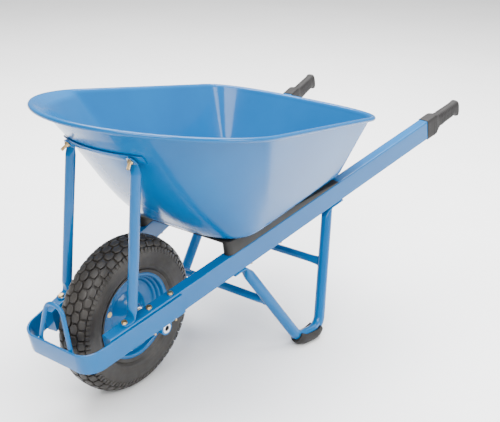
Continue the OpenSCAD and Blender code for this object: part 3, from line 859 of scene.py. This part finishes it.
def shank(low, high):
    """A shank along -Z from high to low, with ridges of thread at its end."""
    steps = [(SHANK_R - 0.9, low), (SHANK_R - 0.15, low + 0.9)]
    z = low + 1.2
    while z < low + THREAD_LENGTH:
        steps += [(SHANK_R - 0.5, z), (SHANK_R, z + 0.6)]
        z += THREAD_PITCH
    steps += [(SHANK_R, z), (SHANK_R, high)]
    return Shape().grid([circle3(r, height, 20) for r, height in steps])


def hex_bolt(length):
    """A hexagon bolt on its washer, whose seat is at z = 0."""
    shape = washer(0.0, WASHER_T)
    shape.add(hex_body(WASHER_T, 5.3, False))
    shape.add(shank(-length, WASHER_T))
    return shape


def nut():
    """A nut and its washer, which hang below z = 0."""
    shape = washer(-1.3, 0.0)
    shape.add(hex_body(-6.5, -1.3, True))
    return shape


def cup_bolt(length):
    """A bolt with a low round head, whose seat is at z = 0."""
    rings = [circle3(CUP_R, 0.0)]
    for k in range(1, 7):
        a = math.radians(90 * k / 6)
        rings.append(circle3(max(CUP_R * math.cos(a), 0.6), 2.5 * math.sin(a)))
    return Shape().grid(rings).add(shank(-length, 0.0))


# ------------------------------------------------------------------ frame tubes

ALONG_X = Vector((1, 0, 0))
LEG_R = 15
LEG_BEND_R = 45
LEG_LEAN = 0.236
FOOT_FRONT_Y = 413
FOOT_REAR_Y = 494
LEG_TAB_T = 6
LEG_TAB_W = 34
FRONT_TAB_Y = (218, 258)
REAR_TAB_Y = (592, 641)
FOOT_Z = 24


def leg_point(y, z):
    """A point on the leg's leaning plane."""
    return from_axle(rail_x(y) + LEG_LEAN * (rail_bottom_z(y) - z), y, z)


FOOT_FRONT = leg_point(FOOT_FRONT_Y, FOOT_Z)
FOOT_REAR = leg_point(FOOT_REAR_Y, FOOT_Z)


def under_rail(y):
    """The middle of a flattened leg end."""
    return on_rail(0, 0, y / RUN / math.cos(SPLAY), -RAIL_H - LEG_TAB_T / 2 - 0.1)


def flat_section(width, height):
    return superellipse(width / 2, height / 2, 4.5, 32)


def leg_shape():
    """A bent tube whose ends are pressed flat under the rail."""
    corners = [*map(under_rail, FRONT_TAB_Y), FOOT_FRONT, FOOT_REAR, *map(under_rail, REAR_TAB_Y)]
    path = resampled(bent_path(corners, (12, LEG_BEND_R, LEG_BEND_R, 12), 10), 5)
    round_tube = superellipse(LEG_R, LEG_R, 2.0, 32)
    flat = flat_section(LEG_TAB_W, LEG_TAB_T)
    distances = distances_along(path)
    front_flat, rear_flat, press = 40, distances[-1] - 46, 36
    sections = []
    for d in distances:
        pressed = max(1 - (d - front_flat) / press, 1 - (rear_flat - d) / press)
        sections.append(mixed(round_tube, flat, clamped(pressed)))
    return sweep(path, sections, Vector((math.cos(SPLAY), -math.sin(SPLAY), 0)))


BRACE_R = 11
BRACE_INSET = 12
WELD_ANGLES = [2 * math.pi * k / 24 for k in range(25)]


def brace_shape(y, z, lean):
    """A cross tube, squeezed where it meets the legs, with a bead of weld at each end."""
    half = leg_point(y, z).x
    end = half - BRACE_INSET
    path = resampled([from_axle(-end, y, z), from_axle(end, y, z)], 12)
    round_tube = superellipse(BRACE_R, BRACE_R, 2.0, 28)
    squeezed = superellipse(12.6, 8.4, 2.6, 28)
    sections = [mixed(round_tube, squeezed, clamped(1 - (end - abs(p.x)) / 34)) for p in path]
    shape = sweep(path, sections, lean)
    sideways = ALONG_X.cross(lean)
    for side in (1, -1):
        middle = from_axle(side * (half - 16), y, z)
        ring = [middle + lean * 12.0 * math.cos(a) + sideways * 9.5 * math.sin(a) for a in WELD_ANGLES]
        shape.add(weld_bead(ring, 2.0, ALONG_X))
    return shape


STAY_S = -88
STAY_TAB_T = 4
STAY_BOLT_S = -115
STAY_R = 12.5
STAY_X = 98
STAY_TIP = 13
STRAP_GAP = 0.9
STRAP_T = 4
STAY_TAB_Z = STRAP_GAP + STRAP_T + 0.5
STAY_WALL_P, STAY_WALL_ACROSS, STAY_WALL_UP, STAY_WALL_OUT = wall_frame(station_at(STAY_X), STAY_LEVEL)
STAY_WALL_P = STAY_WALL_P + Vector((0, AXLE_Y, 0))


def stay_shape():
    """A tube pressed flat at the foot and at the head, which leans back along the tray's wall."""

    def head(up, out):
        return STAY_WALL_P + STAY_WALL_UP * up + STAY_WALL_OUT * (out + STAY_TAB_Z + 2)

    def foot(s, n):
        return on_rail(STAY_S, 0, s, n)

    corners = [foot(-38, 2.2), foot(-8, 2.2), foot(0, 20), head(-30, 16), head(-11, 0.3), head(12, 0)]
    path = resampled(bent_path(corners, (8, 14, 14, 10), 6), 4)
    round_tube = superellipse(STAY_R, STAY_R, 2.0, 32)
    flat = flat_section(27, STAY_TAB_T)
    distances = distances_along(path)
    foot_flat, head_flat, press = 34, distances[-1] - 22, 26
    sections = []
    for d in distances:
        pressed = max(1 - (d - foot_flat) / press, 1 - (head_flat - d) / press)
        from_end = min(d, distances[-1] - d)
        tip = math.sqrt(1 - max(0.0, 1 - from_end / STAY_TIP) ** 2)
        sections.append([(x * max(tip, 0.15), y) for x, y in mixed(round_tube, flat, clamped(pressed))])
    return sweep(path, sections, ALONG_X)


def strap_shape():
    """The flat strap that hugs the front wall between the stays."""
    start = station_at(126)
    section = rounded_box(STRAP_T, 25.0, 1.4, 3)
    rings = []
    for i in range(start, HALF_STEPS - start):
        p, _, up, out = wall_frame(i, STAY_LEVEL)
        middle = p + Vector((0, AXLE_Y, 0)) + out * (STRAP_GAP + STRAP_T / 2)
        rings.append([middle + out * x + up * y for x, y in section])
    return Shape().grid(rings)


NOSE_REACH = 249
NOSE_R = 50
NOSE_T = 6
NOSE_H = 54
NOSE_MIDDLE_N = -33
NOSE_END_S = 42


def nose_outline():
    """Centre line of the nose guard's bar in the rails' plane, from one end to the other."""
    beside = RAIL_W / 2 + 0.1 + NOSE_T - NOSE_R
    middle_r = NOSE_R - NOSE_T / 2
    corner_s = -NOSE_REACH + NOSE_R
    corner_u = rail_u(corner_s) + beside / math.cos(SPLAY)
    half = [(0.0, -NOSE_REACH + NOSE_T / 2)]
    for k in range(25):
        a = math.radians(-90) + (math.radians(90) - SPLAY) * k / 24
        half.append((corner_u + middle_r * math.cos(a), corner_s + middle_r * math.sin(a)))
    half.append((rail_u(NOSE_END_S) + (beside + middle_r) / math.cos(SPLAY), NOSE_END_S))
    return [(-u, s) for u, s in reversed(half[1:])] + half


def nose_guard_shape():
    """A flat bar on edge, bent round the wheel."""
    line = resampled([in_plane(u, s, NOSE_MIDDLE_N) for u, s in nose_outline()], 10)
    return sweep(line, rounded_box(NOSE_H, NOSE_T, 2.0, 4), Vector((0, -LIFT, RUN)))


HOOP_R = 5.5
HOOP_BEND_R = 26


def hoop_shape():
    """A narrow arch of round bar that stands inside the nose guard."""
    s = -NOSE_REACH + NOSE_T + HOOP_R + 0.3
    half = [(50, s, -48), (50, s, -8), (24, s + 24, 86)]
    corners = [in_plane(-u, s, n) for u, s, n in half] + [in_plane(*place) for place in reversed(half)]
    path = resampled(bent_path(corners, [HOOP_BEND_R] * 4, 10), 4)
    return sweep(path, circle(HOOP_R - 0.1, 24), Vector((0, 1, 0)))


SHOE_R = 25
SHOE_TOP = 35
SHOE_HALF_ANGLE = 104


def shoe_shape():
    """The moulded shoe: a deep channel round the leg's bend, cut flat where it stands."""
    corners = [leg_point(262, 262), FOOT_FRONT, FOOT_REAR, leg_point(588, 330)]
    path = resampled(bent_path(corners, (LEG_BEND_R, LEG_BEND_R), 12), 4)
    path = [p for p in path if p.z < SHOE_TOP]
    across = Vector((math.cos(SPLAY), 0, LEG_LEAN)).normalized()
    inner = LEG_R + 0.2
    angles = [math.radians(SHOE_HALF_ANGLE * (k / 12 - 1)) for k in range(25)]
    last = len(path) - 1
    rings = []
    for i, p in enumerate(path):
        along = (path[min(i + 1, last)] - path[max(i - 1, 0)]).normalized()
        down = along.cross(across).normalized()
        side = down.cross(along).normalized()
        if down.z > 0:
            down = -down
        grow = min(1.0, 0.62 + 0.13 * min(i, last - i))
        outer = inner + (SHOE_R - inner) * grow
        arc = [(outer, a) for a in angles] + [(inner, a) for a in reversed(angles)]
        ring = [p + down * r * math.cos(a) + side * r * math.sin(a) for r, a in arc]
        rings.append([Vector((v.x, v.y, max(v.z, 0.0))) for v in ring])
    return Shape().grid(rings)


# ------------------------------------------------------------------ risers and grips


def floor_over(s):
    """Height of the tray's floor over the rails' plane, square to that plane."""
    y, z = s * RUN, RAIL_TOP + s * LIFT
    return (floor_height(y) - z) / (RUN + FLOOR_SLOPE * LIFT)


WEDGE_HALF_W = 15.5
WEDGE_S = (216, 648)
# Eased edges: inset of the outline, height, and whether that is from the rail or the tray's floor
WEDGE_LEVELS = (
    (1.2, 0.1, "rail"),
    (0.3, 0.5, "rail"),
    (0.0, 1.6, "rail"),
    (0.0, -2.2, "tray"),
    (0.5, -1.0, "tray"),
    (1.8, -0.35, "tray"),
)


def wedge_plan(inset):
    """The wedge's outline on the rail: a round front end, then straight sides."""
    r = WEDGE_HALF_W - inset
    front = WEDGE_S[0] + WEDGE_HALF_W
    points = []
    for k in range(19):
        a = math.radians(180 + 10 * k)
        points.append((r * math.cos(a), front + r * math.sin(a)))
    side = [front + (WEDGE_S[1] - front - inset) * k / 39 for k in range(1, 40)]
    return points + [(r, y) for y in side] + [(-r, y) for y in reversed(side)]


def wedge_shape():
    """A packing wedge with eased edges."""
    rings = []
    for inset, lift, base in WEDGE_LEVELS:
        ring = []
        for x, y in wedge_plan(inset):
            height = floor_over(y * math.cos(SPLAY)) if base == "tray" else 0.0
            ring.append(on_rail(0, x, y, height + lift))
        rings.append(ring)
    return Shape().grid(rings)


GRIP_S = 1077
GRIP_LEN = 177.4
GRIP_STATIONS = [
    # distance, top, bottom, width, squareness
    (0.0, 1.2, -61.6, 35.0, 9.0),
    (0.8, 2.0, -62.5, 36.5, 9.0),
    (44.0, 2.0, -62.5, 36.5, 9.0),
    (49.0, 1.4, -61.8, 36.2, 8.0),
    (56.0, -1.6, -58.0, 34.0, 6.0),
    (66.0, -5.4, -53.2, 31.4, 4.2),
    (76.0, -6.0, -50.8, 30.8, 3.4),
    (112.0, -6.0, -48.4, 30.4, 3.2),
    (155.0, -6.0, -47.2, 30.0, 3.2),
    (162.0, -5.4, -49.5, 30.6, 3.2),
    (168.0, -4.2, -56.0, 32.0, 3.4),
    (173.0, -4.0, -58.0, 32.0, 3.4),
    (176.0, -5.0, -56.6, 30.0, 3.2),
    (GRIP_LEN, -9.5, -51.0, 24.0, 3.0),
]


RIBBED_FROM = 84
RIBBED_TO = 148
RIB_HALF_PITCH = 4
COLLAR_RIDGE = (34, 37)


def grip_at(d):
    """Top, bottom, width and squareness of the grip at a distance from its open end."""
    for a, b in zip(GRIP_STATIONS, GRIP_STATIONS[1:]):
        if a[0] <= d <= b[0]:
            t = (d - a[0]) / (b[0] - a[0])
            t = eased(t) if b[0] - a[0] > 3 else t
            return [p * (1 - t) + q * t for p, q in zip(a[1:], b[1:])]
    return GRIP_STATIONS[-1][1:]


def grip_distances():
    """Places along the grip, closer together near its ends."""
    distances = []
    d = 0.0
    while d < GRIP_LEN:
        distances.append(d)
        d += 0.4 if d < 1.2 or d > 172 else 0.9
    return distances + [GRIP_LEN]


def rib_height(d):
    if RIBBED_FROM < d < RIBBED_TO:
        return 0.75 * max(0.0, math.sin((d - RIBBED_FROM) * math.pi / RIB_HALF_PITCH)) ** 0.6
    if COLLAR_RIDGE[0] <= d < COLLAR_RIDGE[1]:
        return 0.5
    return 0.0


def grip_shape():
    """A rubber grip: square collar, ribbed hold and a lip at the end."""
    rings = []
    for d in grip_distances():
        top, bottom, width, n = grip_at(d)
        ring = []
        for x, z in superellipse(width / 2, (top - bottom) / 2, n, 56):
            share = 1.0 if z < 2 else 0.35
            k = 1 + rib_height(d) * share / (width / 2)
            ring.append(on_rail(0, x * k, GRIP_S + d, (top + bottom) / 2 + z * k))
        rings.append(ring)
    return Shape().grid(rings)


# ------------------------------------------------------------------ putting it together

dress_cad_nodes()

piece("tray_shell", tray_shape(), "frame", paint, ["tray"], sharp=60)
piece("stay_strap", strap_shape(), "frame", paint, ["tray_stay_strap"])
piece("nose_bar", nose_guard_shape(), "frame", paint, ["nose_guard"], sharp=50)
piece("nose_loop", hoop_shape(), "frame", paint, ["nose_hoop"])
pair("stay_tube", stay_shape(), "frame", paint, "tray_stay", sharp=50)
pair("leg_tube", leg_shape(), "frame", paint, "leg", sharp=50)
pair("shoe", shoe_shape(), "frame", moulded, "foot", sharp=50)
pair("wedge", wedge_shape(), "frame", moulded, "riser", sharp=50)
pair("hand_grip", grip_shape(), "frame", grip_rubber, "grip", sharp=50)

front_lean = (FOOT_FRONT - leg_point(256, 265)).normalized()
rear_lean = (FOOT_REAR - leg_point(590, 336)).normalized()
piece("brace_tube_front", brace_shape(336, 150, front_lean), "frame", paint, ["leg_brace_front"])
piece("brace_tube_rear", brace_shape(552, 195, rear_lean), "frame", paint, ["leg_brace_rear"])

tyre = lathe(carcass_profile(), 192).add(tread_shape())
piece("tyre_body", tyre, "wheel", tyre_rubber, ["tyre"], sharp=50)
pair("rim_pressing", lathe(rim_profile(), 144), "wheel", paint, "rim", sharp=60)

# ------------------------------------------------------------------ bolts and nuts

BRACKET_S = (-41, 26)
LEG_S = (246, 616)
TRAY_S = (296, 409)
SADDLE_T = 5
UNDER_RAIL = -RAIL_H - 0.1


def both_sides(shape, matrix):
    """A placed shape and its mirror image, in one."""
    one = Shape().add(shape, matrix)
    return Shape().add(one).add(one.mirrored())


def along_rail(shape, places, lift):
    """Copies on both rails, at places along them and lift over their top faces."""
    whole = Shape()
    for s in places:
        whole.add(both_sides(shape, rail_matrix(s) @ Matrix.Translation((0, 0, lift))))
    return whole


def fastener(name, shape, node):
    piece(name, shape, "frame", zinc_yellow, [node], sharp=30)


fastener("foot_bolts", along_rail(hex_bolt(RAIL_H + 22), [STAY_BOLT_S], STAY_TAB_T + 0.2), "stay_foot_bolts")
fastener("foot_nuts", along_rail(nut(), [STAY_BOLT_S], UNDER_RAIL), "stay_foot_nuts")
fastener("saddle_bolts", along_rail(hex_bolt(RAIL_H + 22), BRACKET_S, 0.1), "bracket_bolts")
fastener("saddle_nuts", along_rail(nut(), BRACKET_S, UNDER_RAIL - SADDLE_T - 0.1), "bracket_nuts")
fastener("leg_tab_bolts", along_rail(hex_bolt(RAIL_H + 18), LEG_S, 0.1), "leg_bolts")
fastener("leg_tab_nuts", along_rail(nut(), LEG_S, UNDER_RAIL - LEG_TAB_T - 0.1), "leg_nuts")

tray_bolts = Shape()
for place in TRAY_S:
    over = floor_over(place)
    tray_bolts.add(along_rail(cup_bolt(RAIL_H + over + 16), [place], over + 2.6))
fastener("floor_bolts", tray_bolts, "tray_bolts")
fastener("floor_nuts", along_rail(nut(), TRAY_S, UNDER_RAIL), "tray_nuts")

inward_axes = Matrix((STAY_WALL_ACROSS, -STAY_WALL_UP, -STAY_WALL_OUT)).transposed()
stay_matrix = Matrix.Translation(STAY_WALL_P) @ inward_axes.to_4x4()
head_seat = stay_matrix @ Matrix.Translation((0, 0, TRAY_T + 0.1))
nut_seat = stay_matrix @ Matrix.Translation((0, 0, -STAY_TAB_Z - STAY_TAB_T - 0.1))
fastener("stay_head_bolts", both_sides(cup_bolt(33), head_seat), "stay_top_bolts")
fastener("stay_head_nuts", both_sides(nut(), nut_seat), "stay_top_nuts")

# ------------------------------------------------------------------ floor, light and camera

FLOOR_HALF = 30.0
AZIMUTH = math.radians(37.52)
ELEVATION = math.radians(22.17)
ROLL = math.radians(0.33)
CAMERA_PLACE = from_axle(1429, -1393, 1282) * MM


def build_floor():
    n = Nodes("studio_floor")
    colour = n.ramp(n.noise(1.2, 2.0), [(0.3, (0.86, 0.86, 0.86)), (0.7, (0.90, 0.90, 0.90))])
    material = n.set(colour=colour, roughness=0.85, specular=0.1)
    mesh = bpy.data.meshes.new("studio_floor")
    corners = [(x * FLOOR_HALF, y * FLOOR_HALF, 0) for x, y in ((-1, -1), (1, -1), (1, 1), (-1, 1))]
    mesh.from_pydata(corners, [], [(0, 1, 2, 3)])
    mesh.materials.append(material)
    floor = bpy.data.objects.new("studio_floor", mesh)
    bpy.context.scene.collection.objects.link(floor)


def build_world():
    """A soft white sky, grey at the horizon and below."""
    world = bpy.data.worlds.new("studio")
    world.use_nodes = True
    tree = world.node_tree
    background = tree.nodes["Background"]
    background.inputs["Strength"].default_value = 0.9
    direction = tree.nodes.new("ShaderNodeTexCoord").outputs["Generated"]
    facing = tree.nodes.new("ShaderNodeVectorMath")
    facing.operation = "DOT_PRODUCT"
    facing.inputs[1].default_value = (0.35, 0.25, 0.9)
    tree.links.new(direction, facing.inputs[0])
    ramp = tree.nodes.new("ShaderNodeValToRGB")
    ramp.color_ramp.elements[0].position = 0.0
    ramp.color_ramp.elements[0].color = (0.42, 0.43, 0.45, 1)
    ramp.color_ramp.elements[1].position = 0.75
    ramp.color_ramp.elements[1].color = (1, 1, 1, 1)
    tree.links.new(facing.outputs["Value"], ramp.inputs["Fac"])
    tree.links.new(ramp.outputs["Color"], background.inputs["Color"])
    bpy.context.scene.world = world


def area_light(name, place, target, size, power):
    data = bpy.data.lights.new(name, "AREA")
    data.shape = "RECTANGLE"
    data.size, data.size_y = size
    data.energy = power
    light = bpy.data.objects.new(name, data)
    light.location = place
    light.rotation_euler = (Vector(target) - Vector(place)).to_track_quat("-Z", "Y").to_euler()
    bpy.context.scene.collection.objects.link(light)


def build_camera():
    data = bpy.data.cameras.new("camera")
    data.lens = 64.79
    data.sensor_width = 36
    data.shift_x = 0.0162
    data.shift_y = -0.004
    data.clip_end = 100
    camera = bpy.data.objects.new("camera", data)
    level_back = Vector((math.sin(AZIMUTH), -math.cos(AZIMUTH), 0))
    back = level_back * math.cos(ELEVATION) + UP * math.sin(ELEVATION)
    right = Vector((math.cos(AZIMUTH), math.sin(AZIMUTH), 0))
    up = back.cross(right)
    tilted_right = right * math.cos(ROLL) + up * math.sin(ROLL)
    tilted_up = up * math.cos(ROLL) - right * math.sin(ROLL)
    turn = Matrix((tilted_right, tilted_up, back)).transposed().to_4x4()
    camera.matrix_world = Matrix.Translation(CAMERA_PLACE) @ turn
    bpy.context.scene.collection.objects.link(camera)
    bpy.context.scene.camera = camera


build_floor()
build_world()
area_light("key", (1.6, -3.0, 3.4), (0, 0, 0.4), (2.6, 2.0), 230)
area_light("fill", (4.0, 0.6, 2.2), (0, 0, 0.4), (1.6, 2.2), 150)
area_light("top", (-0.6, 0.8, 4.0), (0, 0, 0.3), (4.0, 4.0), 800)
build_camera()

bpy.context.view_layer.update()
